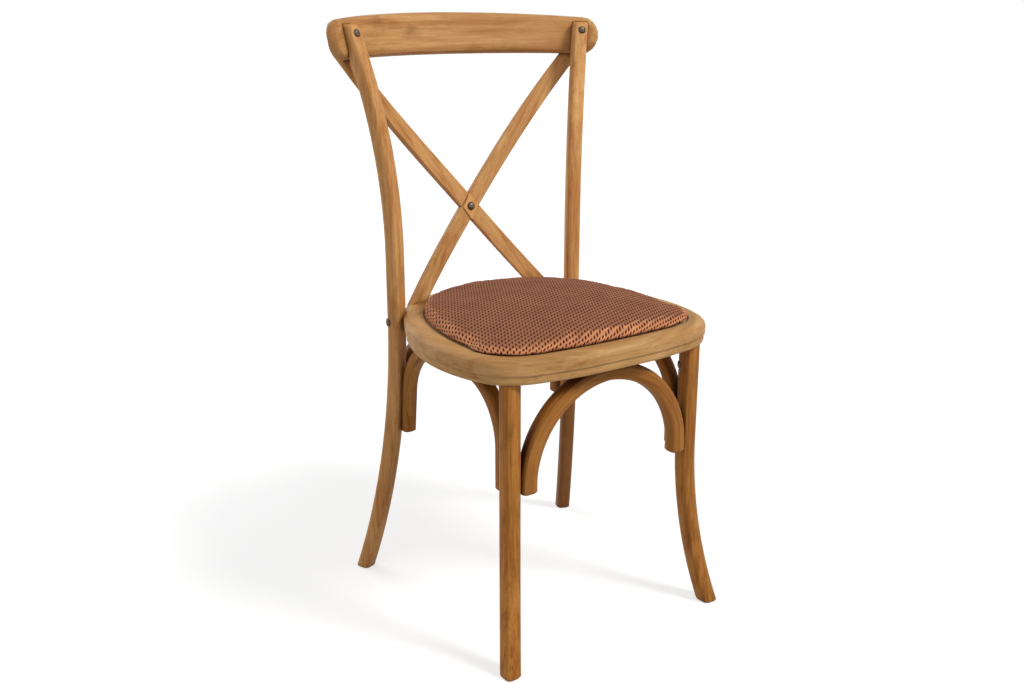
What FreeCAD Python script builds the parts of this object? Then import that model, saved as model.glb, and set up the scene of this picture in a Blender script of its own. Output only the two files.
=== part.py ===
import FreeCAD, Part
import math
import os
from FreeCAD import Vector as V

os.makedirs("parts", exist_ok=True)

# All sizes are in millimetres. X runs across the chair, -Y is its front, +Z is up.
# The sizes below are measured from a datum on the floor between the legs; the
# finished pieces are moved once, at the end, to centre the chair on the origin.

# Fits
fit_gap = 0.15            # radial or side clearance of a glued or screwed wood joint
end_gap = 0.5             # air left at the blind end of a hole or mortise

# Seat frame: a bent hoop in front, closed by a short curved rail at the back
seat_height = 453.3       # floor to the top of the hoop
frame_thickness = 35.0
seat_half_width = 217.2   # at the widest place
seat_front = 217.0        # datum to the front of the hoop
seat_rear = 200.0         # datum to the back of the rear rail
lip_height = 21.0         # the rounded upper lip on the outer face
lip_step = 1.8            # how far the lip stands out over the face below it
lip_radius = 10.0
frame_lower_radius = 5.0
recess_depth = 12.0       # the pad drops into this recess
ledge_width = 28.0        # the ledge that carries the pad board
rail_drop = 1.4           # the rear rail is a little thinner than the hoop
rail_inset = 1.2
seam_y = 78.0             # where the hoop ends meet the rail, on the band's middle line
seam_x = 157.0
seam_angle = 30.0         # the seam stands square to the band, which tapers inwards here

# Pad: crowned, woven cover over foam, glued on a thin board
pad_half_width = 184.5
pad_front = 191.6
pad_rear = 168.3
board_thickness = 9.0
board_gap = 1.0           # board to recess wall
pad_gap = 0.9             # pad to recess wall
pad_lift = 0.3            # pad clear of its board
pad_edge_height = 8.5     # height of the pad's edge over the hoop
pad_crown = 17.0          # further rise to the middle of the pad
pad_edge_radius = 6.5
pad_hem = 3.0                  # the wall draws in to the hem under the edge
plan_tolerance = 2.0           # of the arcs that stand for each outline

# Front legs: straight to the knee, then bent outwards and forwards to the foot
front_leg_size = 26.0
front_leg_corner = 8.0
front_leg_x = 162.2
front_leg_y = -174.4
front_knee_height = 264.0
front_bend_radius = 777.0
front_bend_heading = -56.6     # degrees from +X, in plan
# Rear legs and back posts: one bent piece on each side, bent at both ends
post_size = 24.0
post_corner = 7.0
post_turn = 20.0               # the front face looks inwards by this angle
post_x = 168.3
post_y = 125.9
post_knee_height = 436.0
post_lower_radius = 1290.0
post_lower_heading = 60.3
post_neck_height = 537.0
post_upper_radius = 980.0
post_upper_heading = 45.0
post_height = 874.0
post_top_bevel = 2.5
foot_edge = 1.6                # chamfer round each foot

# Crest rail: bent to the sitter's back, leaning a little, ends rounded
crest_radius = 359.5           # plan radius at the middle of its thickness
crest_drop = 16.6              # its middle, below the tops of the posts
crest_set_back = 86.3          # its middle, behind the posts' middle there
crest_height = 64.4
crest_thickness = 25.0
crest_lean = 10.0
crest_half_length = 263.5      # along the bend
crest_edge_radius = 9.0
crest_end_height = 58.0
crest_end_round = 26.0         # length of each rounded end
crest_droop = 5.0              # the ends hang this much lower than the middle

# Cross slats: two flat bent strips, lapped and bolted where they cross
slat_width = 26.5
slat_thickness = 11.0
slat_corner = 2.0
slat_tenon = 14.0
slat_foot_x = 117.0
slat_foot_y = 151.0
cross_height = 589.0
cross_y = 182.5
slat_lean = 9.6                # of both slats where they cross
slat_top_x = 205.0
slat_top_y = 190.0
slat_low_bow = 3.3             # how far each half bows back from straight
slat_high_bow = 10.5
lap_boss = 2.4                 # the lap stands proud of the slats by this much

# Arched braces under the seat: bent bars of rounded square section
front_arch_width = 24.0
front_arch_depth = 25.5
front_arch_bend = 140.0
front_arch_forward = 4.1       # its middle plane lies this far in front of the legs
side_arch_width = 22.0
side_arch_depth = 20.5
side_arch_bend = 94.0
side_arch_x = 156.5
side_arch_rear_lean = 17.0     # its rear leg leans back this far, to follow the post
rear_arch_width = 22.0
rear_arch_depth = 22.0
rear_arch_bend = 84.0
arch_corner = 7.0
arch_drop = 164.3              # from the underside of the seat to the feet
arch_end_bevel = 2.0
corner_steps = 2               # flats that stand for each rounded corner of a bar

# Fasteners and hidden joints
crest_screw_drop = 12.0        # from the top of the post
crest_screw_head = 11.5
crest_screw_length = 31.0
cross_bolt_head = 12.6
head_rise = 3.6
bolt_diameter = 6.0
spot_depth = 1.0
nut_diameter = 11.0
nut_height = 6.5
seat_screw_head = 16.0
seat_screw_rise = 4.6
seat_screw_seat = 12.2         # from the post's middle to the face that it bears on
seat_screw_length = 55.0
seat_screw_drop = 18.0         # below the top of the rear rail
leg_screw_head = 15.0
leg_screw_rise = 4.0
leg_screw_drop = 34.0          # below the underside of the hoop
leg_screw_length = 23.0
leg_dowel_diameter = 14.0
leg_dowel_bite = 16.0          # up into the hoop
leg_dowel_reach = 48.0         # down into the leg
dowel_diameter = 8.0
foot_dowel_diameter = 5.0
foot_dowel_shift = 7.2         # the rear dowels of the side arches, outwards of its middle
dowel_length = 22.0
foot_dowel_rise = 23.0         # above the feet of the arches
foot_dowel_step = 16.0         # front and side dowels pass each other at this spacing
arch_screw_diameter = 4.5
arch_screw_head = 9.0
arch_screw_bite = 14.0
arch_screw_x = 30.0            # from the middle of the front and rear arches
side_arch_screw_y = -20.0      # a little in front of the middle of the side arches
board_screw_diameter = 4.0
board_screw_head = 8.0
board_screw_bite = 6.5
board_screw_front = 0.3        # shares of the pad's half width and depth
board_screw_rear = 0.7
board_screw_side = 0.55
turned_sides = 12              # flats round each dowel, screw and hole

# The plan of the seat frame and of the pad, as shares of half width and of the
# depth in front of and behind the datum, from the middle of the front to the
# middle of the back.
FRAME_PLAN = [(0, -1), (0.344, -0.9935), (0.627, -0.943), (0.8195, -0.867), (0.932, -0.700),
              (0.996, -0.410), (0.971, -0.046), (0.862, 0.288), (0.741, 0.595),
              (0.560, 0.845), (0.310, 0.965), (0, 1)]
PAD_PLAN = [(0, -1), (0.330, -0.9935), (0.660, -0.9625), (0.8726, -0.882), (0.950, -0.797),
            (1.000, -0.574), (0.9946, -0.219), (0.921, 0.138), (0.8347, 0.3886),
            (0.691, 0.655), (0.4705, 0.879), (0.244, 0.9685), (0, 1)]

hoop_underside = seat_height - frame_thickness
ledge_height = seat_height - recess_depth
rail_top = seat_height - rail_drop
arch_foot_height = hoop_underside - arch_drop
foot_dowel_height = arch_foot_height + foot_dowel_rise
crest_mid_height = post_height - crest_drop


# Small helpers

def heading(degrees):
    return V(math.cos(math.radians(degrees)), math.sin(math.radians(degrees)), 0)


def mirrored(shape):
    return shape.mirror(V(0, 0, 0), V(1, 0, 0))


def plan_arcs(table, half_width, front, rear):
    # Tangent arcs along the right half of a smooth outline, which starts and ends
    # on the chair's middle plane, square to it.
    points = [V(u * half_width, v * (front if v < 0 else rear), 0) for u, v in table]
    curve = Part.BSplineCurve()
    curve.interpolate(Points=points, InitialTangent=V(1, 0, 0), FinalTangent=V(-1, 0, 0))
    return [arc.toShape() for arc in curve.toBiArcs(plan_tolerance)]


def inset(arcs, distance):
    # The same outline, drawn in by a distance along its own normal.
    moved = []
    for arc in arcs:
        ends = []
        for t in (arc.FirstParameter, (arc.FirstParameter + arc.LastParameter) / 2, arc.LastParameter):
            point, along = arc.valueAt(t), arc.tangentAt(t)
            inward = V(-along.y, along.x, 0)
            if inward.dot(point) > 0:
                inward = -inward
            ends.append(point + inward * distance)
        moved.append(Part.Arc(*ends).toShape())
    return moved


def outline(arcs, z=0.0):
    wire = Part.Wire(Part.__sortEdges__(arcs + [mirrored(arc) for arc in arcs]))
    wire.translate(V(0, 0, z))
    return wire


def prism(arcs, z_low, z_high):
    return Part.Face(outline(arcs, z_low)).extrude(V(0, 0, z_high - z_low))


def stack(arcs, levels):
    # A closed body through this outline, drawn in by each distance at each height.
    return Part.makeLoft([outline(inset(arcs, d), z) for d, z in levels], True, True)


def rounding(radius, steps):
    # Shares of a rounded edge: how far in and how far up after each step.
    angles = [math.pi / 2 * i / steps for i in range(steps + 1)]
    return [(radius * (1 - math.cos(a)), radius * math.sin(a)) for a in angles]


def middle_of(edge):
    return edge.valueAt((edge.FirstParameter + edge.LastParameter) / 2)


def level_edges(solid, z):
    def at_level(edge):
        points = [edge.Vertexes[0].Point, edge.Vertexes[-1].Point, middle_of(edge)]
        return all(abs(p.z - z) < 0.01 for p in points)

    return [edge for edge in solid.Edges if at_level(edge)]


def rounded_rectangle(size_x, size_y, radius, turn=0.0):
    # Each rounded corner is a few flats, which keeps the bent bars light.
    points = []
    for quarter in range(4):
        sign_x = 1 if quarter in (0, 3) else -1
        sign_y = 1 if quarter in (0, 1) else -1
        for step in range(corner_steps + 1):
            angle = math.radians(90 * (quarter + step / corner_steps))
            points.append(V(sign_x * (size_x / 2 - radius) + radius * math.cos(angle),
                            sign_y * (size_y / 2 - radius) + radius * math.sin(angle), 0))
    face = Part.Face(Part.makePolygon(points + points[:1]))
    face.rotate(V(0, 0, 0), V(0, 0, 1), turn)
    return face


def placed(face, position):
    copy = face.copy()
    copy.translate(position)
    return copy


def bend(face, start, direction, radius, rise):
    # Turn a level section about a level axis, so that the bar swings towards
    # the direction while it climbs (or, with a negative rise, drops).
    axis = V(0, 0, 1).cross(direction)
    angle = math.degrees(math.asin(min(1.0, abs(rise) / (radius - 30.0))))
    centre = start + direction * radius
    return placed(face, start).revolve(centre, axis, -angle if rise < 0 else angle)


def turned(start, direction, rings):
    # A turned piece with flats: rings of (distance along it, diameter), joined in line.
    wires = []
    for along, diameter in rings:
        wires.append([heading(360.0 * i / turned_sides) * (diameter / 2) + V(0, 0, along)
                      for i in range(turned_sides)])
    faces = [Part.Face(Part.makePolygon(ring + ring[:1])) for ring in (wires[0], wires[-1])]
    for low, high in zip(wires, wires[1:]):
        for i in range(turned_sides):
            j = (i + 1) % turned_sides
            faces.append(Part.Face(Part.makePolygon([low[i], low[j], high[j], high[i], low[i]])))
    solid = Part.Solid(Part.makeShell(faces))
    if solid.Volume < 0:
        solid.reverse()
    solid.Placement = FreeCAD.Placement(start, FreeCAD.Rotation(V(0, 0, 1), direction))
    return solid


def rod(start, direction, length, diameter):
    return turned(start, direction, [(0, diameter), (length, diameter)])


def domed_screw(seat, direction, head, rise, diameter, length):
    # The head bears on the seat and bulges away from it; the shank runs inwards.
    dome = turned(seat, direction, [(-rise, head * 0.3), (-rise * 0.8, head * 0.7), (0, head)])
    return dome.fuse(rod(seat, direction, length, diameter))


def fastener_hole(seat, direction, head, diameter, length):
    # Room for a domed screw: a spot face under its head and a clearance hole.
    shank = rod(seat, direction, length + end_gap, diameter + 2 * fit_gap)
    return shank.fuse(rod(seat - direction * head, direction, head, head + 6 * fit_gap))


def countersunk_screw(start, direction, head, diameter, length, grow=0.0, extra=0.0):
    # The head is flush with the face at the start.
    sink = (head - diameter) / 2
    cone = turned(start, direction, [(-extra, head + 2 * grow + 2 * extra),
                                     (sink, diameter + 2 * grow)])
    return cone.fuse(rod(start, direction, length + extra, diameter + 2 * grow))


def below(z):
    return Part.makeBox(1200, 1200, 400, V(-600, -600, z - 400))


def above(z):
    return Part.makeBox(1200, 1200, 400, V(-600, -600, z))


# Front legs

def front_leg():
    section = rounded_rectangle(front_leg_size, front_leg_size, front_leg_corner)
    knee = V(front_leg_x, front_leg_y, front_knee_height)
    straight = placed(section, knee).extrude(V(0, 0, hoop_underside - front_knee_height))
    lower = bend(section, knee, heading(front_bend_heading), front_bend_radius, -front_knee_height)
    leg = straight.fuse(lower).removeSplitter()
    leg = leg.cut(below(0))
    return leg.makeChamfer(foot_edge, level_edges(leg, 0))


# Rear legs and posts

def post_blank(grow=0.0):
    size = post_size + 2 * grow
    section = rounded_rectangle(size, size, post_corner + grow, -post_turn)
    knee = V(post_x, post_y, post_knee_height)
    neck = V(post_x, post_y, post_neck_height)
    straight = placed(section, knee).extrude(V(0, 0, post_neck_height - post_knee_height))
    lower = bend(section, knee, heading(post_lower_heading), post_lower_radius, -post_knee_height)
    upper = bend(section, neck, heading(post_upper_heading), post_upper_radius,
                 post_height - post_neck_height)
    return straight.fuse([lower, upper]).removeSplitter()


def post_centre(z):
    if z > post_neck_height:
        rise, radius, side = z - post_neck_height, post_upper_radius, heading(post_upper_heading)
    else:
        rise, radius, side = post_knee_height - z, post_lower_radius, heading(post_lower_heading)
    swing = radius - math.sqrt(radius * radius - rise * rise) if rise > 0 else 0.0
    return V(post_x, post_y, z) + side * swing


def post_front():
    return heading(-90.0 - post_turn)


def rear_post():
    post = post_blank().cut([below(0), above(post_height)])
    post = post.makeChamfer(foot_edge, level_edges(post, 0))
    return post.makeChamfer(post_top_bevel, level_edges(post, post_height))


# Seat frame

frame_plan = plan_arcs(FRAME_PLAN, seat_half_width, seat_front, seat_rear)
recess_plan = plan_arcs(PAD_PLAN, pad_half_width, pad_front, pad_rear)


def frame_ring(top, shrink):
    step = top - lip_height
    face = shrink + lip_step
    lower = [(face + d, hoop_underside + frame_lower_radius - h)
             for d, h in reversed(rounding(frame_lower_radius, 2))]
    upper = [(shrink + d, top - lip_radius + h) for d, h in rounding(lip_radius, 3)]
    ring = stack(frame_plan, lower + [(face, step)])
    ring = ring.fuse(stack(frame_plan, [(shrink, step)] + upper)).removeSplitter()
    ring = ring.cut(prism(inset(recess_plan, ledge_width), hoop_underside - 1, top + 1))
    return ring.cut(prism(recess_plan, ledge_height, seat_height + 1))


def rear_region(gap=0.0):
    along = heading(-seam_angle)
    seam = V(seam_x, seam_y, 0) + heading(90 - seam_angle) * gap
    outer, inner = seam + along * 90, seam - along * 30
    back = 400.0
    points = [outer, inner, V(-inner.x, inner.y, 0), V(-outer.x, outer.y, 0),
              V(-back, outer.y, 0), V(-back, back, 0), V(back, back, 0), V(back, outer.y, 0), outer]
    face = Part.Face(Part.makePolygon(points))
    return face.extrude(V(0, 0, 1000))


# Crest rail

crest_y = post_centre(crest_mid_height).y + crest_set_back


def crest_section(reach, height, thickness, drop):
    # A rounded upright section of the bent rail, at this distance along its bend.
    turn = math.degrees(reach / crest_radius)
    corner = min(crest_edge_radius, 0.46 * height, 0.46 * thickness)
    section = rounded_rectangle(thickness, height, corner)
    section.rotate(V(0, 0, 0), V(1, 0, 0), 90)
    section.rotate(V(0, 0, 0), V(0, 0, 1), 90)
    section.rotate(V(0, 0, 0), V(1, 0, 0), -crest_lean)
    section.translate(V(0, crest_radius, 0))
    section.rotate(V(0, 0, 0), V(0, 0, 1), -turn)
    section.translate(V(0, crest_y - crest_radius, crest_mid_height - drop))
    return section.OuterWire


def crest_blank():
    straight = crest_half_length - crest_end_round
    sections = []
    for share in (0.0, 0.4, 0.75, 1.0):
        height = crest_height - (crest_height - crest_end_height) * share ** 2
        sections.append((straight * share, height, crest_thickness, crest_droop * share ** 2))
    body = [crest_section(-reach, *rest) for reach, *rest in sections[:0:-1]]
    body += [crest_section(reach, *rest) for reach, *rest in sections]
    blank = Part.makeLoft(body, True, False, False, 3)
    for side in (-1, 1):
        lobe = []
        for angle in (0, 22, 42, 60, 75, 86):
            share = math.cos(math.radians(angle))
            reach = straight + crest_end_round * math.sin(math.radians(angle))
            lobe.append(crest_section(side * reach, crest_end_height * share,
                                      crest_thickness * math.sqrt(share), crest_droop))
        blank = blank.fuse(Part.makeLoft(lobe, True, True))
    return blank


# Cross slats

def slat_axis():
    # The middle line of the slat that climbs from left to right. Each half is
    # bowed back from the straight line between its ends.
    foot = V(-slat_foot_x, slat_foot_y, rail_top)
    cross = V(0, cross_y, cross_height)
    top = V(slat_top_x, slat_top_y, crest_mid_height - crest_droop - crest_end_height / 2)
    lower = (foot + cross) * 0.5 + V(0, slat_low_bow, 0)
    upper = (cross + top) * 0.5 + V(0, slat_high_bow, 0)
    curve = Part.BSplineCurve()
    curve.interpolate(Points=[foot, lower, cross, upper, top])
    return curve


def slat_section(point, along, grow):
    # Square to the slat; its face turns with the bend of the crest rail.
    turn = math.asin(point.x / crest_radius)
    lean = math.radians(slat_lean)
    back = V(math.sin(turn) * math.cos(lean), math.cos(turn) * math.cos(lean), -math.sin(lean))
    back = (back - along * back.dot(along)).normalize()
    across = back.cross(along)
    section = rounded_rectangle(slat_width + 2 * grow, slat_thickness + 2 * grow, slat_corner)
    section.Placement = FreeCAD.Placement(point, FreeCAD.Rotation(across, back, along, "ZXY"))
    return section.OuterWire


def slat_blank(grow=0.0, extra=0.0):
    curve = slat_axis()
    first, last = curve.FirstParameter, curve.LastParameter
    count = 8
    sections = []
    for i in range(count + 1):
        t = first + (last - first) * i / count
        point, along = curve.value(t), curve.tangent(t)[0]
        if i == 0:
            sections.append(slat_section(point - along * (slat_tenon + extra), along, grow))
        sections.append(slat_section(point, along, grow))
        if i == count:
            sections.append(slat_section(point + along * (slat_tenon + extra), along, grow))
    return Part.makeLoft(sections, True, False, False, 3)


def cross_placement():
    lean = math.radians(slat_lean)
    back = V(0, math.cos(lean), -math.sin(lean))
    return FreeCAD.Placement(V(0, cross_y, cross_height),
                             FreeCAD.Rotation(V(1, 0, 0), back.cross(V(1, 0, 0)) * -1, back, "ZXY"))


def lap_diamond(near, far, grow=0.0):
    # The overlap of the two slats' widths, from near to far of the lap's middle plane.
    curve = slat_axis()
    along = curve.tangent(curve.parameter(V(0, cross_y, cross_height)))[0]
    climb = math.degrees(math.atan2(math.hypot(along.y, along.z), along.x))
    width = slat_width + 2 * grow
    bands = []
    for angle in (climb, 180 - climb):
        band = Part.makeBox(200, width, far - near, V(-100, -width / 2, near))
        band.rotate(V(0, 0, 0), V(0, 0, 1), -angle)
        bands.append(band)
    diamond = bands[0].common(bands[1])
    diamond.Placement = cross_placement().multiply(diamond.Placement)
    return diamond


def build_slats():
    climbing = slat_blank()
    falling = mirrored(climbing)
    deep = slat_thickness
    half = fit_gap / 2
    boss = lap_diamond(-slat_thickness / 2 - lap_boss, -half)
    front = climbing.cut(lap_diamond(-half, deep, fit_gap)).fuse(boss)
    rear = falling.cut(lap_diamond(-deep - lap_boss, half, fit_gap))
    return front.removeSplitter(), rear.removeSplitter()


# Arched braces

def arch_half(width, depth, radius, reach, lean=0.0):
    # From the middle of the crown, at the origin, to one foot in the XZ plane. The
    # reach is where the foot's middle stands; a lean swings the leg outwards.
    turn = 90.0 - lean
    tangent = radius * math.tan(math.radians(turn / 2))
    corner = reach - arch_fall(depth) * math.tan(math.radians(lean))
    section = rounded_rectangle(depth, width, arch_corner)
    section.rotate(V(0, 0, 0), V(0, 1, 0), 90)
    crown = section.extrude(V(corner - tangent, 0, 0))
    section.translate(V(corner - tangent, 0, 0))
    centre = V(corner - tangent, 0, -radius)
    curve = section.revolve(centre, V(0, 1, 0), turn)
    section.rotate(centre, V(0, 1, 0), turn)
    down = V(math.sin(math.radians(lean)), 0, -math.cos(math.radians(lean)))
    return crown.fuse([curve, section.extrude(down * arch_drop)])


def arch_fall(depth):
    # From the middle of the crown to the feet.
    return arch_drop - depth / 2


def arch_bar(halves, depth):
    bar = halves[0].fuse(halves[1]).removeSplitter()
    bar.translate(V(0, 0, hoop_underside - depth / 2))
    bar = bar.cut(below(arch_foot_height))
    return bar.makeChamfer(arch_end_bevel, level_edges(bar, arch_foot_height))


def front_arch():
    x = front_leg_x - front_leg_size / 2 - front_arch_depth / 2
    half = arch_half(front_arch_width, front_arch_depth, front_arch_bend, x)
    bar = arch_bar([half, mirrored(half)], front_arch_depth)
    bar.translate(V(0, front_arch_y, 0))
    return bar


def rear_arch():
    # Each foot is shaped to the turned face of its post.
    half = arch_half(rear_arch_width, rear_arch_depth, rear_arch_bend, rear_foot.x)
    bar = arch_bar([half, mirrored(half)], rear_arch_depth)
    bar.translate(V(0, rear_foot.y, 0))
    return bar.cut([post_blank(fit_gap), mirrored(post_blank(fit_gap))])


def side_arch():
    front = arch_half(side_arch_width, side_arch_depth, side_arch_bend, -side_front_y)
    lean = math.degrees(math.atan(side_arch_rear_lean / arch_fall(side_arch_depth)))
    rear = arch_half(side_arch_width, side_arch_depth, side_arch_bend, side_foot.y, lean)
    bar = arch_bar([mirrored(front), rear], side_arch_depth)
    bar.rotate(V(0, 0, 0), V(0, 0, 1), 90)
    bar.translate(V(side_arch_x, 0, 0))
    return bar.cut(post_blank(fit_gap))


# Pad and its board

def seat_board():
    return prism(inset(recess_plan, board_gap), ledge_height, ledge_height + board_thickness)


def seat_pad():
    # Its wall draws in to the hem below and rounds over above, where a shallow
    # dome gives the crown, highest in the middle.
    base = ledge_height + board_thickness + pad_lift
    edge_top = seat_height + pad_edge_height
    levels = [(pad_gap + pad_hem, base), (pad_gap, base + pad_hem)]
    levels += [(pad_gap + d, edge_top - pad_edge_radius + h) for d, h in rounding(pad_edge_radius, 2)]
    levels.append((pad_gap + 3 * pad_edge_radius, edge_top + pad_crown))
    dome = (pad_half_width ** 2 + pad_crown ** 2) / (2 * pad_crown)
    middle = V(0, (pad_rear - pad_front) / 2, edge_top + pad_crown - dome)
    return stack(recess_plan, levels).common(Part.makeSphere(dome, middle, V(1, 0, 0)))


# Where the arches stand against the legs and posts

foot_turn = math.radians(post_turn)
post_foot = post_centre(arch_foot_height)
front_arch_y = front_leg_y - front_arch_forward
side_front_y = front_leg_y + front_leg_size / 2 + side_arch_depth / 2
rear_foot = V(post_foot.x - post_size / 2 * math.cos(foot_turn) - rear_arch_depth / 2,
              post_foot.y + post_size / 2 * math.sin(foot_turn), 0)
side_foot = V(side_arch_x, post_foot.y - post_size / 2 / math.cos(foot_turn)
              + (post_foot.x - side_arch_x) * math.tan(foot_turn) - side_arch_depth / 2, 0)


# Fasteners, on the right-hand side of the chair where there is a pair

def crest_screw(hole=False):
    z = post_height - crest_screw_drop
    front = post_front()
    seat = post_centre(z) + front * (post_size / 2 - spot_depth)
    if hole:
        return fastener_hole(seat, -front, crest_screw_head, bolt_diameter, crest_screw_length)
    return domed_screw(seat, -front, crest_screw_head, head_rise, bolt_diameter, crest_screw_length)


def seat_screw(hole=False):
    z = rail_top - seat_screw_drop
    outward = heading(45.0 - post_turn)
    seat = post_centre(z) + outward * seat_screw_seat
    if hole:
        return fastener_hole(seat, -outward, seat_screw_head, bolt_diameter, seat_screw_length)
    return domed_screw(seat, -outward, seat_screw_head, seat_screw_rise, bolt_diameter,
                       seat_screw_length)


def leg_screw(hole=False):
    inward = heading(135.0)
    corner = front_leg_size / 2 * math.sqrt(2) - front_leg_corner * (math.sqrt(2) - 1)
    seat = V(front_leg_x, front_leg_y, hoop_underside - leg_screw_drop) + inward * (corner - 2.4)
    if hole:
        return fastener_hole(seat, -inward, leg_screw_head, bolt_diameter, leg_screw_length)
    return domed_screw(seat, -inward, leg_screw_head, leg_screw_rise, bolt_diameter, leg_screw_length)


def leg_dowel(grow=0.0, extra=0.0):
    start = V(front_leg_x, front_leg_y, hoop_underside - leg_dowel_reach - extra)
    length = leg_dowel_reach + leg_dowel_bite + 2 * extra
    return rod(start, V(0, 0, 1), length, leg_dowel_diameter + 2 * grow)


def dowel(middle, direction, diameter, grow=0.0, extra=0.0):
    length = dowel_length + 2 * extra
    return rod(middle - direction * (length / 2), direction, length, diameter + 2 * grow)


def foot_dowel_places():
    # Each foot has one dowel; those of a post pass each other at two heights.
    low, high = foot_dowel_height, foot_dowel_height + foot_dowel_step
    leg_face = front_leg_size / 2
    front, side = post_front(), heading(-post_turn)
    at_front = post_centre(low) + front * (post_size / 2)
    at_front += side * ((side_arch_x + foot_dowel_shift - at_front.x) / side.x)
    at_side = post_centre(high) - side * (post_size / 2)
    return [("front_arch", "front_leg_right", V(front_leg_x - leg_face, front_arch_y, low), V(1, 0, 0)),
            ("side_arch_right", "front_leg_right",
             V(side_arch_x, front_leg_y + leg_face, high), V(0, 1, 0)),
            ("rear_arch", "rear_post_right", at_side, side),
            ("side_arch_right", "rear_post_right", at_front, -front)]


def rail_dowel(grow=0.0, extra=0.0):
    middle = V(seam_x - 4.0, seam_y + 2.3, (hoop_underside + ledge_height) / 2)
    return dowel(middle, heading(90.0 - seam_angle), dowel_diameter, grow, extra)


def arch_screw_places():
    return [("front_arch", V(arch_screw_x, front_arch_y, 0), front_arch_depth),
            ("rear_arch", V(arch_screw_x, rear_foot.y, 0), rear_arch_depth),
            ("side_arch_right", V(side_arch_x, side_arch_screw_y, 0), side_arch_depth)]


def board_screw_places():
    return [V(pad_half_width - ledge_width / 3, -pad_front * board_screw_front, hoop_underside),
            V(pad_half_width * board_screw_side, pad_rear * board_screw_rear, hoop_underside)]


def cut_into(name, tools):
    parts[name] = parts[name].cut(tools)


# Build each piece, then cut its joints

parts = {}
leg = front_leg()
post = rear_post()
arch = side_arch()
parts["seat_hoop"] = frame_ring(seat_height, 0.0).cut(rear_region())
parts["seat_rear_rail"] = frame_ring(rail_top, rail_inset).common(rear_region(fit_gap))
parts["seat_board"] = seat_board()
parts["seat_pad"] = seat_pad()
parts["front_leg_right"] = leg
parts["front_leg_left"] = mirrored(leg)
parts["rear_post_right"] = post
parts["rear_post_left"] = mirrored(post)
parts["crest_rail"] = crest_blank()
parts["cross_slat_front"], parts["cross_slat_rear"] = build_slats()
parts["front_arch"] = front_arch()
parts["rear_arch"] = rear_arch()
parts["side_arch_right"] = arch
parts["side_arch_left"] = mirrored(arch)

other_side = {"front_leg_right": "front_leg_left", "rear_post_right": "rear_post_left",
              "side_arch_right": "side_arch_left"}


def cut_pair(name, tool):
    # Cut a joint on the right and its mirror image on the left.
    if name in other_side:
        cut_into(name, tool)
        cut_into(other_side[name], mirrored(tool))
    else:
        cut_into(name, [tool, mirrored(tool)])


post_room = post_blank(fit_gap).cut(above(post_height + fit_gap))
cut_pair("crest_rail", post_room)
cut_pair("seat_rear_rail", post_room)
slat_room = slat_blank(fit_gap, end_gap)
cut_pair("crest_rail", slat_room)
cut_pair("seat_rear_rail", slat_room)

for name in ("rear_post_right", "crest_rail"):
    cut_pair(name, crest_screw(hole=True))
for name in ("rear_post_right", "seat_rear_rail"):
    cut_pair(name, seat_screw(hole=True))
cut_pair("front_leg_right", leg_screw(hole=True))
for name in ("front_leg_right", "seat_hoop"):
    cut_pair(name, leg_dowel(fit_gap, end_gap))
for name in ("seat_hoop", "seat_rear_rail"):
    cut_pair(name, rail_dowel(fit_gap, end_gap))

dowels = []
for arch_name, leg_name, middle, direction in foot_dowel_places():
    room = dowel(middle, direction, foot_dowel_diameter, fit_gap, end_gap)
    cut_pair(arch_name, room)
    cut_pair(leg_name, room)
    dowels.append(dowel(middle, direction, foot_dowel_diameter))

arch_screws = []
for arch_name, place, depth in arch_screw_places():
    start = place + V(0, 0, hoop_underside - depth)
    length = depth + arch_screw_bite
    room = countersunk_screw(start, V(0, 0, 1), arch_screw_head, arch_screw_diameter, length,
                             fit_gap, end_gap)
    cut_pair(arch_name, room)
    cut_pair("seat_rear_rail" if arch_name == "rear_arch" else "seat_hoop", room)
    arch_screws.append(countersunk_screw(start, V(0, 0, 1), arch_screw_head, arch_screw_diameter,
                                         length))

board_screws = []
for place in board_screw_places():
    length = ledge_height - hoop_underside + board_screw_bite
    room = countersunk_screw(place, V(0, 0, 1), board_screw_head, board_screw_diameter, length,
                             fit_gap, end_gap)
    cut_pair("seat_rear_rail" if place.y > 0 else "seat_hoop", room)
    cut_pair("seat_board", room)
    board_screws.append(countersunk_screw(place, V(0, 0, 1), board_screw_head,
                                          board_screw_diameter, length))

lap_seat = cross_placement().multVec(V(0, 0, -slat_thickness / 2 - lap_boss))
lap_back = cross_placement().Rotation.multVec(V(0, 0, 1))
bolt_reach = slat_thickness + lap_boss
bolt_room = rod(lap_seat - lap_back, lap_back, bolt_reach + 2, bolt_diameter + 2 * fit_gap)
cut_into("cross_slat_front", bolt_room)
cut_into("cross_slat_rear", bolt_room)
parts["cross_bolt"] = domed_screw(lap_seat, lap_back, cross_bolt_head, head_rise, bolt_diameter,
                                  bolt_reach + nut_height + 1.5)
nut_seat = lap_seat + lap_back * bolt_reach
nut_hole = rod(nut_seat, lap_back, nut_height, bolt_diameter + 2 * fit_gap)
parts["cross_nut"] = rod(nut_seat, lap_back, nut_height, nut_diameter).cut(nut_hole)

pairs = {"crest_screws": [crest_screw()], "seat_screws": [seat_screw()], "leg_screws": [leg_screw()],
         "leg_dowels": [leg_dowel().cut(leg_screw(hole=True))], "rail_dowels": [rail_dowel()],
         "arch_dowels": dowels, "arch_screws": arch_screws, "board_screws": board_screws}
for name, solids in pairs.items():
    parts[name] = Part.makeCompound(solids + [mirrored(solid) for solid in solids])


# Move the chair so that the middle of its bounding box stands on the origin

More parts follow.
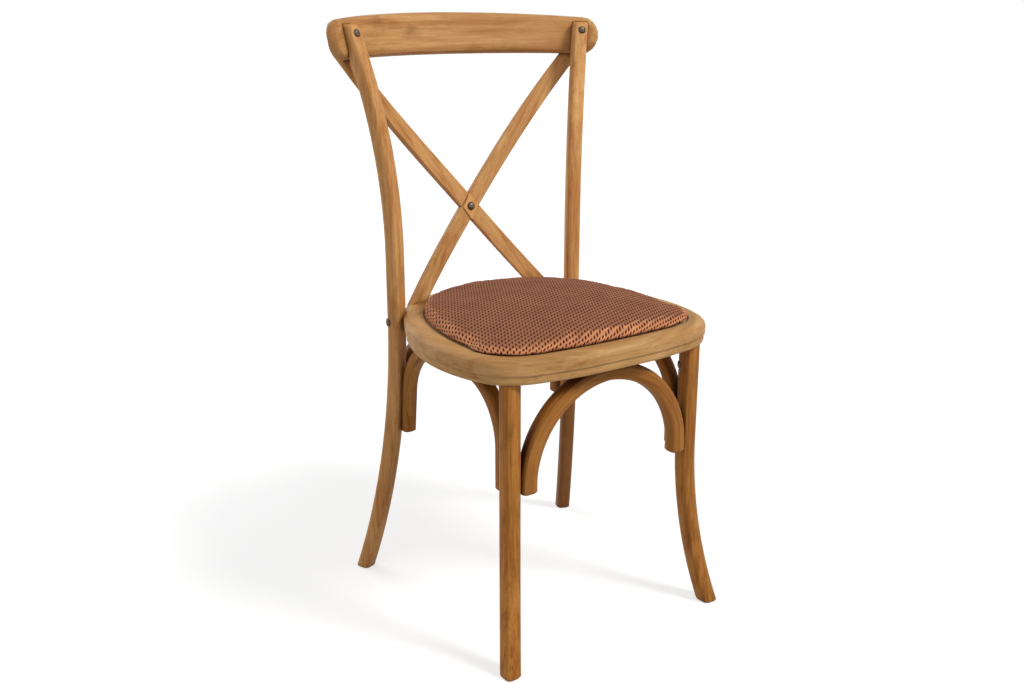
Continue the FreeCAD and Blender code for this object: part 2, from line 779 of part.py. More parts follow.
bounds = [shape.optimalBoundingBox() for shape in parts.values()]
low_y = min(box.YMin for box in bounds)
high_y = max(box.YMax for box in bounds)
shift = V(0, -(low_y + high_y) / 2, 0)
print("moved by", shift.y, "depth", high_y - low_y)
print("height", max(box.ZMax for box in bounds), "width", 2 * max(box.XMax for box in bounds))

for name, shape in parts.items():
    shape.translate(shift)
    shape.exportStep("parts/%s.step" % name)
    print(name, len(shape.Solids), round(shape.Volume / 1000, 2), shape.isValid())
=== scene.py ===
import bpy
import bmesh
import math
import numpy as np
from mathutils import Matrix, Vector


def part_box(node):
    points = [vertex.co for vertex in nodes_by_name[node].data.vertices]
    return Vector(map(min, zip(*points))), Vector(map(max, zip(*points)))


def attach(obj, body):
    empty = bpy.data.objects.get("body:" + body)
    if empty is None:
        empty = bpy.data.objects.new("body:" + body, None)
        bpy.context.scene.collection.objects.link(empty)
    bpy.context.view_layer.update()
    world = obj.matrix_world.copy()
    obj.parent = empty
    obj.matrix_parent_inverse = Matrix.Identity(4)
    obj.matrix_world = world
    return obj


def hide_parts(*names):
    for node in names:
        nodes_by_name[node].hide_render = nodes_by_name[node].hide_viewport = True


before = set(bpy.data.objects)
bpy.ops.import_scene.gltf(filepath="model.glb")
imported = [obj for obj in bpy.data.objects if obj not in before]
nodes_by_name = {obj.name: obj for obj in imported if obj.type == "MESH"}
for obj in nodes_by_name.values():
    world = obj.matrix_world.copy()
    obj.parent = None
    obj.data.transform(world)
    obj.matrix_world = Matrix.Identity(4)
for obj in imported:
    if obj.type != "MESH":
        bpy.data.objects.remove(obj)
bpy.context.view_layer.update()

# All sizes are in metres, in the frame of the CAD model.

# Grain: the middles and radii of the bends that it follows
SEAT_MIDDLE_Y, SEAT_RADIUS = -0.01, 0.20
CREST_MIDDLE_Y, CREST_RADIUS = -0.13, 0.36
WIDE_ARCH = (0, 0.0, 0.265, 0.14)          # axis, middle along it, middle's height, radius
SIDE_ARCH = (1, -0.04, 0.30, 0.11)
SLAT_SLOPE = math.radians(57.0)
GRAIN_WANDER = 0.010                       # how far the grain strays sideways
STAIN_AND_SHADE_HEIGHTS = (0.36, 0.44)                  # heights over which the posts' darker stain and painted shade under the seat end

# Pad
PAD_EDGE_TOP = 0.4618          # height of the pad's rim
PAD_DRAW_IN = (0.994, 0.994, 0.97)      # shares of the solid that the cloth starts from
PAD_MERGE = 0.00005            # the solid's corners this close become one
PAD_VOXEL = 0.0045
PAD_SWELL = 0.006              # no point swells by more than this
PAD_PROUD = 0.0025             # the cloth's crown stands this much over its solid
RECESS_SHADE_HEIGHTS = (0.4530, 0.4575)         # heights over which painted shade darkens the cloth into the recess
CLOTH_STEPS = 20
CLOTH_SETTINGS = (("use_pressure", True), ("uniform_pressure_force", 4.0), ("mass", 0.3),
                  ("tension_stiffness", 18), ("compression_stiffness", 18),
                  ("shear_stiffness", 8), ("bending_stiffness", 2.0))

# The pad's outline, read round its middle. The angles are in degrees.
SECTOR = 5                     # the rim's furthest point is found in sectors of this size
RIM_SHARE = 0.97               # a point counts as rim from this share of that reach
RIM_WINDOW = 3.0               # the rim is read this far to either side
OUTLINE_BLUR = 3               # and evened out over this much to either side
OUTLINE_SHARE = 0.999          # how much of the solid's outline the pad fills

# Weave: each wave has its turns in a metre along X and Y, and its share
WEAVE_WAVES = ((195.0, -115.0, 1.1), (50.0, -128.0, 1.0), (145.0, 13.0, 0.6))
WEAVE_PEAK = 2.7               # the shares together
WEAVE_DEPTH = 0.00055
WEAVE_LIFT = 0.5               # the strands rise by this share of the depth
WEAVE_FADE = 0.35              # the relief has ended on faces that look down this much
RIM_RUN_ON = 1.6               # how soon the weave follows the cloth down over the rim
WOBBLE_DEPTH = 0.0004          # how far the lattice strays, and in which slow waves
WOBBLE_WAVES = ((11.0, 7.0), (-6.0, 13.0))

# Raised face of the lap where the slats cross
LAP_MIDDLE = (0.0, 0.1567, 0.589)
LAP_OUTWARD = (0.0, -0.9865, 0.1635)
LAP_HALF_WIDTH, LAP_HALF_HEIGHT = 0.0158, 0.0243
LAP_SHARE = 0.93               # it stops a little short of the slats' edges
LAP_RISE = 0.0020
LAP_SUNK = 0.0010              # how deep it starts in the slat
LAP_HOLE = 0.0067              # radius of the hole for the bolt's head
LAP_BEVEL_HIGH, LAP_BEVEL_WIDE, LAP_HOLE_BEVEL = 0.0006, 0.0005, 0.0004
LAP_CORNERS = 64

# Camera, solved from the photograph
SENSOR, LENS = 36.0, 38.96     # in millimetres
CAMERA_PLACE = (-0.94809, -1.35055, 0.89739)
CAMERA_TILT, CAMERA_TURN = 73.21, -34.33       # in degrees

# Surroundings
WHITE = (1.0, 1.0, 1.0)
WORLD_LIGHT, WORLD_SHOWN = 0.40, 1.0
FLOOR_HALF, FLOOR_DROP = 30.0, 0.0002
GLOW_NEAR, GLOW_FAR = (0.5, 0.60), (4.0, 0.90)      # distance from the chair, strength
LAMP_TARGET = (0.0, 0.0, 0.5)
LAMPS = (                      # name, place, diameter, watts, colour
    ("key", (1.2, -2.3, 2.8), 0.9, 78.0, (1.0, 0.985, 0.955)),
    ("fill", (-2.6, -1.3, 1.4), 2.4, 11.0, WHITE),
    ("back", (-0.8, 2.7, 1.7), 2.2, 34.0, WHITE),
)


def add_object(name, data):
    piece = bpy.data.objects.new(name, data)
    bpy.context.scene.collection.objects.link(piece)
    return piece


# Shader helpers

class Shader:
    """Builds one procedural material out of small steps."""

    def __init__(self, name):
        self.material = bpy.data.materials.new(name)
        self.material.use_nodes = True
        self.tree = self.material.node_tree
        self.place = self.new("ShaderNodeTexCoord").outputs["Object"]

    def new(self, kind, **settings):
        node = self.tree.nodes.new(kind)
        for key, value in settings.items():
            setattr(node, key, value)
        return node

    def feed(self, socket, value):
        if hasattr(value, "is_output"):
            self.tree.links.new(value, socket)
        else:
            socket.default_value = value

    def paint(self, values):
        """Sets or links the sockets of the surface, and gives the material."""
        principled = self.tree.nodes["Principled BSDF"]
        for name, value in values.items():
            self.feed(principled.inputs[name], value)
        return self.material

    def math(self, operation, a, b=0.0):
        node = self.new("ShaderNodeMath", operation=operation)
        for socket, value in zip(node.inputs, (a, b)):
            self.feed(socket, value)
        return node.outputs[0]

    def distance(self, a, b):
        squares = self.math("ADD", self.math("MULTIPLY", a, a), self.math("MULTIPLY", b, b))
        return self.math("SQRT", squares)

    def split(self, vector):
        node = self.new("ShaderNodeSeparateXYZ")
        self.feed(node.inputs[0], vector)
        return node.outputs

    def join(self, x, y, z):
        node = self.new("ShaderNodeCombineXYZ")
        for socket, value in zip(node.inputs, (x, y, z)):
            self.feed(socket, value)
        return node.outputs[0]

    def facing(self):
        """The way that the face looks, in the object's own axes."""
        return self.split(self.new("ShaderNodeTexCoord").outputs["Normal"])

    def noise(self, vector, scale=1.0, detail=3.0, roughness=0.5):
        node = self.new("ShaderNodeTexNoise")
        for name, value in (("Vector", vector), ("Scale", scale), ("Detail", detail),
                            ("Roughness", roughness)):
            self.feed(node.inputs[name], value)
        return node.outputs["Fac"]

    def ramp(self, value, stops, smooth=False):
        node = self.new("ShaderNodeValToRGB")
        if smooth:
            node.color_ramp.interpolation = "EASE"
        self.feed(node.inputs[0], value)
        marks = node.color_ramp.elements
        while len(marks) < len(stops):
            marks.new(0.5)
        for mark, (position, colour) in zip(marks, stops):
            mark.position = position
            mark.color = tuple(colour) + (1.0,)
        return node.outputs[0]

    def reach(self, value, low, high, to_low=0.0, to_high=1.0):
        node = self.new("ShaderNodeMapRange", clamp=True)
        for name, entry in (("Value", value), ("From Min", low), ("From Max", high),
                            ("To Min", to_low), ("To Max", to_high)):
            self.feed(node.inputs[name], entry)
        return node.outputs[0]

    def mix(self, factor, a, b):
        node = self.new("ShaderNodeMix", data_type="RGBA")
        self.feed(node.inputs[0], factor)
        for socket, value in ((node.inputs[6], a), (node.inputs[7], b)):
            self.feed(socket, value if hasattr(value, "is_output") else tuple(value) + (1.0,))
        return node.outputs[2]

    def lay(self, colour, over, pattern, low, high, at_low=0.0, at_high=1.0):
        """Lays one colour over another, by where the pattern's value stands."""
        return self.mix(self.reach(pattern, low, high, at_low, at_high), colour, over)

    def bump(self, height, distance, strength=1.0, normal=None):
        node = self.new("ShaderNodeBump")
        node.inputs["Strength"].default_value = strength
        node.inputs["Distance"].default_value = distance
        self.feed(node.inputs["Height"], height)
        if normal is not None:
            self.feed(node.inputs["Normal"], normal)
        return node.outputs[0]

    def crevice(self, distance):
        """1 in the open, towards 0 where another face stands close."""
        node = self.new("ShaderNodeAmbientOcclusion", samples=8)
        node.inputs["Distance"].default_value = distance
        return node.outputs["AO"]

    def soft_edges(self, radius):
        node = self.new("ShaderNodeBevel", samples=6)
        node.inputs["Radius"].default_value = radius
        return node.outputs[0]


def srgb(r, g, b):
    """A colour given in steps of 255, as the linear values that shaders take."""
    return tuple((c / 12.92 if c <= 0.04045 else ((c + 0.055) / 1.055) ** 2.4)
                 for c in (r / 255.0, g / 255.0, b / 255.0))


def scaled(colour, share):
    return [c * share for c in colour]


# Which way the grain runs: each gives (along, across, through) for a shader

def grain_upright(s):
    x, y, z = s.split(s.place)
    return z, x, y


def grain_round(s, middle_y, radius, facing=1.0):
    """Along a bend about an upright axis, as in the seat frame and the crest rail."""
    x, y, z = s.split(s.place)
    y = s.math("MULTIPLY", s.math("SUBTRACT", y, middle_y), facing)
    return s.math("MULTIPLY", s.math("ARCTAN2", x, y), radius), s.distance(x, y), z


def grain_slope(s, slope):
    """Along a straight slanted piece in the XZ plane."""
    x, y, z = s.split(s.place)
    c, t = math.cos(slope), math.sin(slope)
    along = s.math("ADD", s.math("MULTIPLY", x, c), s.math("MULTIPLY", z, t))
    across = s.math("SUBTRACT", s.math("MULTIPLY", z, c), s.math("MULTIPLY", x, t))
    return along, across, y


def grain_arch(s, axis, middle, middle_z, radius):
    """Round an arch that stands along the X (0) or the Y (1) axis."""
    parts = s.split(s.place)
    flat = s.math("SUBTRACT", parts[axis], middle)
    z = s.math("SUBTRACT", parts[2], middle_z)
    turn = s.math("ARCTAN2", flat, s.math("ABSOLUTE", z))
    return s.math("MULTIPLY", turn, radius), s.distance(flat, z), parts[1 - axis]


# Materials. Each set of shades runs from the palest to the brownest.

HONEY = (srgb(214, 166, 108), srgb(196, 144, 88), srgb(180, 122, 66), srgb(146, 94, 48))
DRY = (srgb(206, 162, 108), srgb(188, 142, 88), srgb(172, 124, 72), srgb(136, 96, 54))
AMBER = (srgb(184, 128, 62), srgb(166, 108, 46), srgb(148, 90, 34), srgb(110, 64, 24))


def oak(name, grain, shades, tone=1.0, warm=0.5, soft=0.0035, seed=0.0, dirt=0.4,
        grime=0.6, grime_reach=0.012, fine=1.0, ends=None, stain_and_painted_shade=0.0):
    """Waxed oak: lengthwise streaks, fine pores, darker patches, and painted shade in the
    corners and joints.

    tone lightens it and warm reddens it, soft is the edges' radius, seed shifts the
    pattern, dirt darkens patches and grime paints shade into the corners, fine is
    the strength of the fine grain, ends is the axis of the end grain, and
    stain_and_painted_shade darkens it below the seat with a darker stain and painted shade."""
    s = Shader(name)
    pale, honey, amber, brown = [scaled(shade, tone) for shade in shades]
    along, across, through = grain(s)
    along = s.math("ADD", along, seed)
    wander = s.math("SUBTRACT", s.noise(s.join(along, across, through), 6.0, 2.0), 0.5)
    across = s.math("ADD", across, s.math("MULTIPLY", wander, GRAIN_WANDER))

    def stretched(length, width, detail=3.0, roughness=0.55):
        vector = s.join(s.math("MULTIPLY", along, 1.0 / length),
                        s.math("MULTIPLY", across, 1.0 / width),
                        s.math("MULTIPLY", through, 1.0 / width))
        return s.noise(vector, 1.0, detail, roughness)

    streaks = stretched(0.20, 0.010)
    bands = stretched(0.09, 0.0036, 3.0, 0.5)
    fibres = stretched(0.030, 0.0012, 3.0, 0.6)
    pores = stretched(0.012, 0.0005, 2.0, 0.7)
    patches = stretched(0.055, 0.026, 3.0, 0.6)
    tint = stretched(0.12, 0.014, 2.0, 0.5)
    broad = stretched(0.16, 0.034, 2.0, 0.5)
    rosy = (0.55 * amber[0] + 0.22 * tone, 0.80 * amber[1] + 0.02 * tone,
            amber[2] + 0.02 * tone)

    # Each row lays a colour over a pattern between two marks, by its share at each.
    colour = s.ramp(streaks, [(0.20, brown), (0.38, amber), (0.52, honey), (0.74, pale)], True)
    for over, pattern, low, high, at_low, at_high in (
            (pale, bands, 0.44, 0.66, 0.0, 0.50 * fine),
            (brown, bands, 0.30, 0.44, 0.40 * fine, 0.0),
            (amber, broad, 0.38, 0.50, 0.34, 0.0),
            (scaled(pale, 1.12), broad, 0.52, 0.68, 0.0, 0.40),
            (rosy, tint, 0.50, 0.70, 0.0, 0.45 * warm),
            (brown, fibres, 0.34, 0.60, 0.30 * fine, 0.0),
            (scaled(brown, 0.6), pores, 0.58, 0.70, 0.0, 0.42 * fine),
            (scaled(brown, 0.72), patches, 0.54, 0.78, 0.0, dirt)):
        colour = s.lay(colour, over, pattern, low, high, at_low, at_high)
    relief = s.math("ADD", s.math("MULTIPLY", fibres, 0.6), s.math("MULTIPLY", pores, -0.5))
    if ends is not None:
        # End grain is closer and plainer than the faces.
        end = s.reach(s.math("ABSOLUTE", s.facing()[ends]), 0.40, 0.75)
        plain = s.lay(honey, amber, s.noise(s.place, 22.0), 0.38, 0.62)
        colour = s.mix(s.math("MULTIPLY", end, 0.88), colour, plain)
        relief = s.math("MULTIPLY", relief, s.math("SUBTRACT", 1.0, end))
    if stain_and_painted_shade:
        # Below the seat: a darker stain, and painted shade from the seat over the posts.
        colour = s.lay(colour, AMBER[3], s.split(s.place)[2], *STAIN_AND_SHADE_HEIGHTS, stain_and_painted_shade, 0.0)
    # Painted shade: darker in corners, joints and under other parts, wherever ambient occlusion
    # finds another face close by.
    colour = s.lay(colour, scaled(brown, 0.30), s.crevice(grime_reach), 0.30, 0.90, grime, 0.0)
    return s.paint({"Base Color": colour,
                    "Roughness": s.reach(fibres, 0.3, 0.7, 0.60, 0.46),
                    "Specular IOR Level": 0.14,
                    "Normal": s.bump(relief, 0.00025, 0.5, s.soft_edges(soft))})


def plain_wood(name, colour, fibre=0.0012):
    s = Shader(name)
    x, y, z = s.split(s.place)
    grain = s.noise(s.join(s.math("MULTIPLY", x, 25.0), s.math("MULTIPLY", y, 1.0 / fibre),
                           s.math("MULTIPLY", z, 1.0 / fibre)), 1.0, 3.0, 0.6)
    return s.paint({
        "Base Color": s.ramp(grain, [(0.3, scaled(colour, 0.66)), (0.7, scaled(colour, 1.12))]),
        "Roughness": 0.7,
        "Normal": s.bump(grain, 0.0002, 0.4)})


def plywood(name, layer=0.003):
    s = Shader(name)
    x, y, z = s.split(s.place)
    layers = s.math("FRACT", s.math("MULTIPLY", z, 1.0 / layer))
    grain = s.noise(s.join(s.math("MULTIPLY", x, 18.0), s.math("MULTIPLY", y, 420.0), z),
                    1.0, 3.0, 0.6)
    face = s.ramp(grain, [(0.32, srgb(176, 140, 98)), (0.68, srgb(214, 182, 138))])
    return s.paint({
        "Base Color": s.lay(face, srgb(140, 104, 68), layers, 0.45, 0.55, 0.0, 0.35),
        "Roughness": 0.75,
        "Normal": s.bump(grain, 0.0002, 0.4)})


def metal(name, colour, roughness, metallic, wear=0.25):
    s = Shader(name)
    blotch = s.noise(s.place, 420.0, 3.0, 0.6)
    light = [min(1.0, c * (1 + wear)) for c in colour]
    return s.paint({
        "Base Color": s.ramp(blotch, [(0.35, scaled(colour, 1 - wear)), (0.65, light)]),
        "Roughness": s.reach(blotch, 0.3, 0.7, roughness - 0.08, roughness + 0.12),
        "Metallic": metallic,
        "Normal": s.bump(blotch, 0.0001, 0.4, s.soft_edges(0.0016))})


def woven(name):
    """Brick-red strands with painted highlights on their crowns and painted shade in the holes,
    on the same waves as the weave in the mesh.
    """
    s = Shader(name)
    cloth = s.new("ShaderNodeAttribute", attribute_name="cloth")
    u, v, _ = s.split(cloth.outputs["Vector"])
    lattice = 0.0
    for along, across, share in WEAVE_WAVES:
        phase = s.math("ADD", s.math("MULTIPLY", u, along * 2 * math.pi),
                       s.math("MULTIPLY", v, across * 2 * math.pi))
        lattice = s.math("ADD", s.math("MULTIPLY", s.math("COSINE", phase), share), lattice)
    strand = s.noise(s.place, 700.0, 2.0, 0.6)
    cloud = s.noise(s.place, 30.0, 3.0, 0.55)
    colour = s.ramp(strand, [(0.3, srgb(178, 106, 72)), (0.5, srgb(208, 136, 94)),
                             (0.72, srgb(232, 172, 124))])
    height = s.split(s.place)[2]
    for over, pattern, low, high, at_low, at_high in (
            (srgb(150, 92, 66), cloud, 0.40, 0.66, 0.0, 0.5),
            # Painted highlight on the strands' crowns.
            (srgb(236, 172, 124), lattice, -1.3, 0.0, 0.30, 0.0),
            # Upward faces darker: painted shade of the strands' sides, with the rim, which
            # faces sideways, left lighter as worn strands.
            (srgb(108, 64, 48), s.facing()[2], 0.82, 0.98, 0.0, 0.66),
            # Painted shade in the holes between the strands.
            (srgb(70, 28, 18), lattice, -0.1, 1.5, 0.0, 1.0),
            # Painted shade where the cloth dips into the recess.
            (srgb(70, 40, 30), height, *RECESS_SHADE_HEIGHTS, 0.60, 0.0)):
        colour = s.lay(colour, over, pattern, low, high, at_low, at_high)
    return s.paint({"Base Color": colour, "Roughness": 0.88, "Specular IOR Level": 0.06,
                    "Sheen Weight": 0.04, "Normal": s.bump(strand, 0.00025, 0.5)})


def on_seat_bend(facing=1.0):
    return lambda s: grain_round(s, SEAT_MIDDLE_Y, SEAT_RADIUS, facing)


def on_slope(slope):
    return lambda s: grain_slope(s, slope)


def on_arch(arch):
    return lambda s: grain_arch(s, *arch)


def arch_oak(name, arch, **looks):
    # A wider reach of painted shade darkens the arches under the seat.
    return oak(name, on_arch(arch), AMBER, soft=0.005, dirt=0.5, grime_reach=0.035, **looks)


materials = {
    "seat_hoop": oak("oak_seat_hoop", on_seat_bend(-1.0), DRY, tone=1.02, warm=0.3,
                     dirt=0.25, grime=0.35, fine=0.55),
    "seat_rear_rail": oak("oak_rear_rail", on_seat_bend(), DRY, tone=0.98, warm=0.3,
                          seed=2.7, dirt=0.35, grime=0.45, fine=0.55),
    "crest_rail": oak("oak_crest_rail", lambda s: grain_round(s, CREST_MIDDLE_Y, CREST_RADIUS),
                      HONEY, tone=0.96, warm=0.6, soft=0.006, seed=5.1, dirt=0.5,
                      grime=0.8, fine=0.8, ends=0),
    "cross_slat_front": oak("oak_slat_front", on_slope(SLAT_SLOPE), HONEY, tone=1.02,
                            warm=0.6, soft=0.0012, seed=8.3, grime=1.0),
    "cross_slat_rear": oak("oak_slat_rear", on_slope(-SLAT_SLOPE), HONEY, tone=1.09,
                           warm=0.6, soft=0.0012, seed=11.9, grime=1.0),
    "rear_post_left": oak("oak_post_left", grain_upright, HONEY, tone=1.14, warm=0.8,
                          soft=0.004, seed=14.2, dirt=0.5, ends=2, stain_and_painted_shade=0.12),
    # Its lower part is darkened much more: painted shade under the seat.
    "rear_post_right": oak("oak_post_right", grain_upright, HONEY, tone=1.18, warm=0.7,
                           soft=0.004, seed=17.7, ends=2, stain_and_painted_shade=0.84),
    "front_leg_left": oak("oak_leg_left", grain_upright, AMBER, tone=1.22, warm=0.3,
                          soft=0.004, seed=21.3, dirt=0.6),
    "front_leg_right": oak("oak_leg_right", grain_upright, AMBER, tone=1.06, warm=0.3,
                           soft=0.004, seed=24.9, dirt=0.7),
    "front_arch": arch_oak("oak_front_arch", WIDE_ARCH, tone=0.98, seed=28.1, grime=1.0),
    "rear_arch": arch_oak("oak_rear_arch", WIDE_ARCH, tone=0.80, warm=0.4, seed=31.6),
    "side_arch_left": arch_oak("oak_side_arch_left", SIDE_ARCH, tone=0.96, warm=0.4,
                               seed=35.2, grime=1.0),
    "side_arch_right": arch_oak("oak_side_arch_right", SIDE_ARCH, tone=0.94, warm=0.4,
                                seed=38.8, grime=1.0),
    "seat_board": plywood("birch_plywood"),
}
beech = plain_wood("beech_dowel", srgb(206, 172, 126))
dark_metal = metal("dark_bronze_screw", srgb(100, 86, 76), 0.36, 0.8)
zinc = metal("zinc_steel", srgb(176, 176, 174), 0.38, 0.9, 0.12)
for name in ("leg_dowels", "rail_dowels", "arch_dowels"):
    materials[name] = beech
for name in ("cross_bolt", "cross_nut", "crest_screws", "seat_screws", "leg_screws"):
    materials[name] = dark_metal
for name in ("arch_screws", "board_screws"):
    materials[name] = zinc
for name, material in materials.items():
    for slot in nodes_by_name[name].material_slots:
        slot.material = material


# The pad: a swollen cushion under a woven cover

def plan_turn(points, middle):
    """Each point's offset from the middle in plan, and its turn round it in degrees."""
    offset = points[:, :2] - middle[:2]
    return offset, np.degrees(np.arctan2(offset[:, 1], offset[:, 0])) % 360


def plan_reach(points, middle):
    """How far the outline reaches from the middle, for every degree of the way round."""
    offset, turn = plan_turn(points, middle)
    reach = np.hypot(offset[:, 0], offset[:, 1])
    furthest = np.zeros(360 // SECTOR)
    sector = (turn / SECTOR).astype(int) % len(furthest)
    np.maximum.at(furthest, sector, reach)
    rim = reach > RIM_SHARE * furthest[sector]
    out = np.empty(360)
    for degree in range(360):
        near = rim & (np.abs((turn - degree + 180) % 360 - 180) < RIM_WINDOW)
        out[degree] = reach[near].max()
    return out


def fit_outline(points, outline, middle):
    """Stretch the swollen pad in plan until it fills the outline of its solid."""
    ratio = outline / plan_reach(points, middle)
    shifts = range(-OUTLINE_BLUR, OUTLINE_BLUR + 1)
    ratio = np.mean([np.roll(ratio, k) for k in shifts], axis=0) * OUTLINE_SHARE
    offset, turn = plan_turn(points, middle)
    scale = np.interp(turn, np.arange(361.0), np.append(ratio, ratio[0]))
    points[:, :2] = middle[:2] + offset * scale[:, None]
    return points


def pad_start():
    """The pad's solid as one closed mesh, drawn in a little for the cloth to swell."""
    mesh = bpy.data.meshes.new("woven_pad")
    work = bmesh.new()
    work.from_mesh(nodes_by_name["seat_pad"].data)
    bmesh.ops.remove_doubles(work, verts=work.verts, dist=PAD_MERGE)
    low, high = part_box("seat_pad")
    middle = (Vector(low) + Vector(high)) / 2
    for vert in work.verts:
        vert.co = middle + Vector([d * k for d, k in zip(vert.co - middle, PAD_DRAW_IN)])
    bmesh.ops.recalc_face_normals(work, faces=work.faces)
    work.to_mesh(mesh)
    work.free()
    return add_object("woven_pad", mesh)


def apply_modifiers(piece):
    dg = bpy.context.evaluated_depsgraph_get()
    dg.update()
    mesh = bpy.data.meshes.new_from_object(piece.evaluated_get(dg))
    piece.modifiers.clear()
    piece.data = mesh


def read_points(values, name="co"):
    """The positions, or another vector, of all vertices as rows."""
    flat = np.empty(len(values) * 3)
    values.foreach_get(name, flat)
    return flat.reshape(-1, 3)


def swell(pad):
    """Cloth with air pressure, kept inside the recess and under the pad's crown."""
    remesh = pad.modifiers.new("remesh", "REMESH")
    remesh.mode = "VOXEL"
    remesh.voxel_size = PAD_VOXEL
    apply_modifiers(pad)
    before = read_points(pad.data.vertices)
    cloth = pad.modifiers.new("cloth", "CLOTH")
    for name, value in CLOTH_SETTINGS:
        setattr(cloth.settings, name, value)
    cloth.settings.effector_weights.gravity = 0.0
    cloth.collision_settings.use_collision = False
    cloth.collision_settings.use_self_collision = False
    cloth.point_cache.frame_start = 1
    cloth.point_cache.frame_end = CLOTH_STEPS
    for step in range(1, CLOTH_STEPS + 1):
        bpy.context.scene.frame_set(step)
    apply_modifiers(pad)
    bpy.context.scene.frame_set(1)
    moved = read_points(pad.data.vertices) - before
    length = np.linalg.norm(moved, axis=1, keepdims=True)
    points = before + moved * np.minimum(1.0, PAD_SWELL / np.maximum(length, 1e-9))
    low, high = (np.array(p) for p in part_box("seat_pad"))
    middle = 0.5 * (low + high)
    outline = plan_reach(read_points(nodes_by_name["seat_pad"].data.vertices), middle)
    points = fit_outline(points, outline, middle)
    above = np.maximum(0.0, points[:, 2] - PAD_EDGE_TOP)
    points[:, 2] += above * (high[2] + PAD_PROUD - points[:, 2].max()) / above.max()
    points = np.clip(points, low, high + np.array((0.0, 0.0, PAD_PROUD)))
    pad.data.vertices.foreach_set("co", points.ravel())
    pad.data.update()


def weave(pad):
    """Lift the strands and sink the holes between them, and keep the cloth's own flat
    coordinates for the colour."""
    finer = pad.modifiers.new("finer", "SUBSURF")
    finer.levels = finer.render_levels = 2
    apply_modifiers(pad)
    mesh = pad.data
    points = read_points(mesh.vertices)
    normals = read_points(mesh.vertices, "normal")
    side = np.linalg.norm(normals[:, :2], axis=1, keepdims=True)
    outward = normals[:, :2] / np.maximum(side, 1e-6)
    # The cloth turns down over the rim, so its flat coordinates run on outwards there.
    below_edge = np.maximum(0.0, PAD_EDGE_TOP - points[:, 2:3])
    flat = points[:, :2] + outward * below_edge * np.clip(side * RIM_RUN_ON, 0.0, 1.0)
    wobble = 2 * math.pi * (flat @ np.array(WOBBLE_WAVES))
    flat = flat + WOBBLE_DEPTH * np.sin(wobble)
    lattice = sum(share * np.cos(2 * math.pi * (flat @ np.array((along, across))))
                  for along, across, share in WEAVE_WAVES)
    up = np.clip((normals[:, 2] + WEAVE_FADE) / WEAVE_FADE, 0.0, 1.0)
    relief = -np.clip(lattice / WEAVE_PEAK, -WEAVE_LIFT, 1.0) * WEAVE_DEPTH * up
    points = points + normals * relief[:, None]
    mesh.vertices.foreach_set("co", points.ravel())
    cloth = np.column_stack((flat, np.zeros(len(flat)))).astype(np.float32)
    attribute = mesh.attributes.new("cloth", "FLOAT_VECTOR", "POINT")
    attribute.data.foreach_set("vector", cloth.ravel())
    mesh.polygons.foreach_set("use_smooth", np.ones(len(mesh.polygons), dtype=bool))
    mesh.update()


pad = pad_start()
swell(pad)
weave(pad)
pad.data.materials.clear()
pad.data.materials.append(woven("woven_cloth"))
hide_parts("seat_pad")
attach(pad, "root")


# The raised face of the lap where the slats cross

def lap_face():
    """A thin diamond, bevelled round its edge, with a clear hole for the bolt's head."""
    turns = [2 * math.pi * (k + 0.5) / LAP_CORNERS for k in range(LAP_CORNERS)]

    def diamond(shrink):
        wide = LAP_HALF_WIDTH * LAP_SHARE - shrink
        high = LAP_HALF_HEIGHT * LAP_SHARE - shrink * 1.5
        reach = [1.0 / (abs(math.cos(a)) / wide + abs(math.sin(a)) / high) for a in turns]
        return [(r * math.cos(a), r * math.sin(a)) for r, a in zip(reach, turns)]

    def circle(radius):
        return [(radius * math.cos(a), radius * math.sin(a)) for a in turns]

    out = Vector(LAP_OUTWARD).normalized()
    side = Vector((1.0, 0.0, 0.0))
    up = out.cross(side)
    if up.z < 0:
        up = -up
    rings = [(diamond(0.0), -LAP_SUNK), (diamond(0.0), LAP_RISE - LAP_BEVEL_HIGH),
             (diamond(LAP_BEVEL_WIDE), LAP_RISE),
             (circle(LAP_HOLE + LAP_HOLE_BEVEL), LAP_RISE),
             (circle(LAP_HOLE), LAP_RISE - LAP_HOLE_BEVEL), (circle(LAP_HOLE), -LAP_SUNK)]
    corners = [Vector(LAP_MIDDLE) + side * x + up * y + out * height
               for ring, height in rings for x, y in ring]
    faces = []
    for k in range(len(rings)):
        here, there = k * LAP_CORNERS, (k + 1) % len(rings) * LAP_CORNERS
        for j in range(LAP_CORNERS):
            following = (j + 1) % LAP_CORNERS
            faces.append((here + j, here + following, there + following, there + j))
    mesh = bpy.data.meshes.new("lap_face")
    mesh.from_pydata(corners, [], faces)
    work = bmesh.new()
    work.from_mesh(mesh)
    bmesh.ops.recalc_face_normals(work, faces=work.faces)
    work.to_mesh(mesh)
    work.free()
    mesh.materials.append(oak("oak_lap_face", on_slope(SLAT_SLOPE), HONEY, tone=1.26,
                              warm=0.2, soft=0.0006, seed=8.3, dirt=0.15, grime=0.5))
    piece = add_object("lap_face", mesh)
    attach(piece, "root")


lap_face()


# Floor, light and camera

def seen_directly(tree):
    """1 for the rays that show the background: of the camera, of gloss and of glass."""
    path = tree.nodes.new("ShaderNodeLightPath")
    shown = path.outputs["Is Camera Ray"]
    for kind in ("Is Glossy Ray", "Is Transmission Ray"):
        largest = tree.nodes.new("ShaderNodeMath")
        largest.operation = "MAXIMUM"
        tree.links.new(shown, largest.inputs[0])
        tree.links.new(path.outputs[kind], largest.inputs[1])
        shown = largest.outputs[0]
    return shown


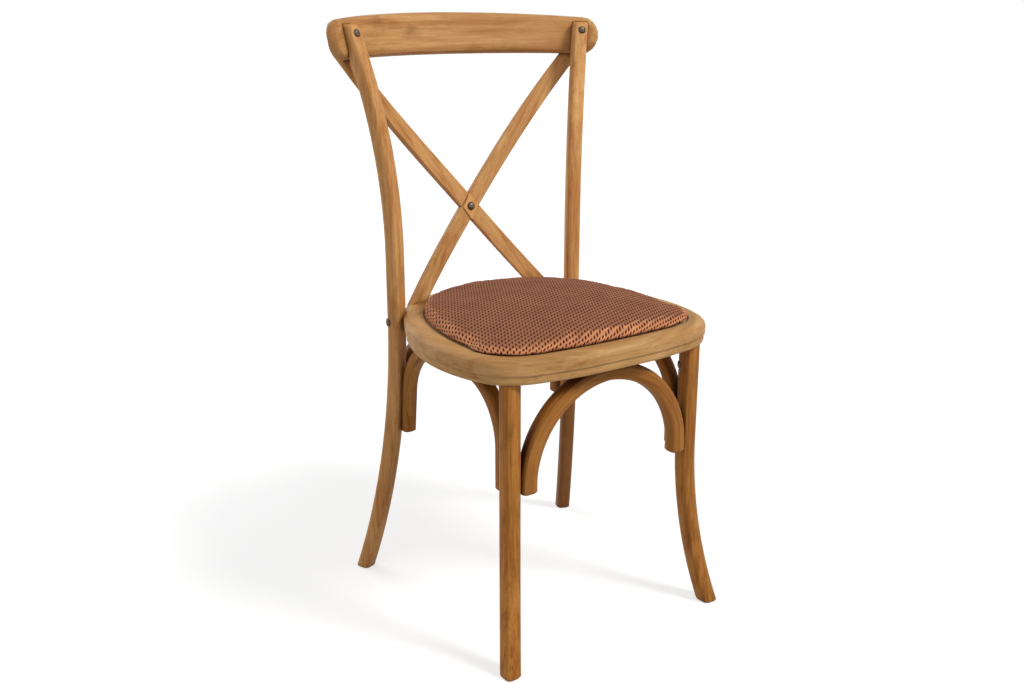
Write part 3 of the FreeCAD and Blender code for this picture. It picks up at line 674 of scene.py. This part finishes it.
def floor():
    """A pale floor that reads as white and still takes the chair's soft shadow."""
    mesh = bpy.data.meshes.new("floor")
    corners = [(x * FLOOR_HALF, y * FLOOR_HALF, 0)
               for x, y in ((-1, -1), (1, -1), (1, 1), (-1, 1))]
    mesh.from_pydata(corners, [], [(0, 1, 2, 3)])
    piece = add_object("floor", mesh)
    piece.location.z = -FLOOR_DROP
    s = Shader("pale_floor")
    shade = s.noise(s.place, 2.0, 2.0)
    pale = s.ramp(shade, [(0.3, (0.50, 0.50, 0.50)), (0.7, (0.51, 0.51, 0.51))])
    # The lamps light the floor less further out, so it glows more there.
    x, y, _ = s.split(s.place)
    glow = s.reach(s.distance(x, y), GLOW_NEAR[0], GLOW_FAR[0], GLOW_NEAR[1], GLOW_FAR[1])
    mesh.materials.append(s.paint({
        "Base Color": pale, "Roughness": 0.9, "Specular IOR Level": 0.0,
        "Emission Color": (*WHITE, 1.0),
        "Emission Strength": s.math("MULTIPLY", seen_directly(s.tree), glow)}))


def area_light(name, place, diameter, watts, colour):
    data = bpy.data.lights.new(name, "AREA")
    data.shape = "DISK"
    data.size = diameter
    data.energy = watts
    data.color = colour
    lamp = add_object(name, data)
    lamp.location = place
    aim = Vector(LAMP_TARGET) - Vector(place)
    lamp.rotation_euler = aim.to_track_quat("-Z", "Y").to_euler()


def surroundings():
    world = bpy.data.worlds.new("studio")
    bpy.context.scene.world = world
    world.use_nodes = True
    tree = world.node_tree
    back = tree.nodes["Background"]
    back.inputs["Color"].default_value = (*WHITE, 1.0)
    blend = tree.nodes.new("ShaderNodeMapRange")
    blend.inputs["To Min"].default_value = WORLD_LIGHT
    blend.inputs["To Max"].default_value = WORLD_SHOWN
    tree.links.new(seen_directly(tree), blend.inputs["Value"])
    tree.links.new(blend.outputs[0], back.inputs["Strength"])


def camera():
    data = bpy.data.cameras.new("photo_camera")
    data.sensor_width = SENSOR
    data.lens = LENS
    data.clip_start = 0.05
    data.clip_end = 60.0
    eye = add_object("photo_camera", data)
    eye.location = CAMERA_PLACE
    eye.rotation_euler = (math.radians(CAMERA_TILT), 0.0, math.radians(CAMERA_TURN))
    bpy.context.scene.camera = eye


floor()
surroundings()
for lamp in LAMPS:
    area_light(*lamp)
camera()
bpy.context.scene.view_settings.view_transform = "Standard"
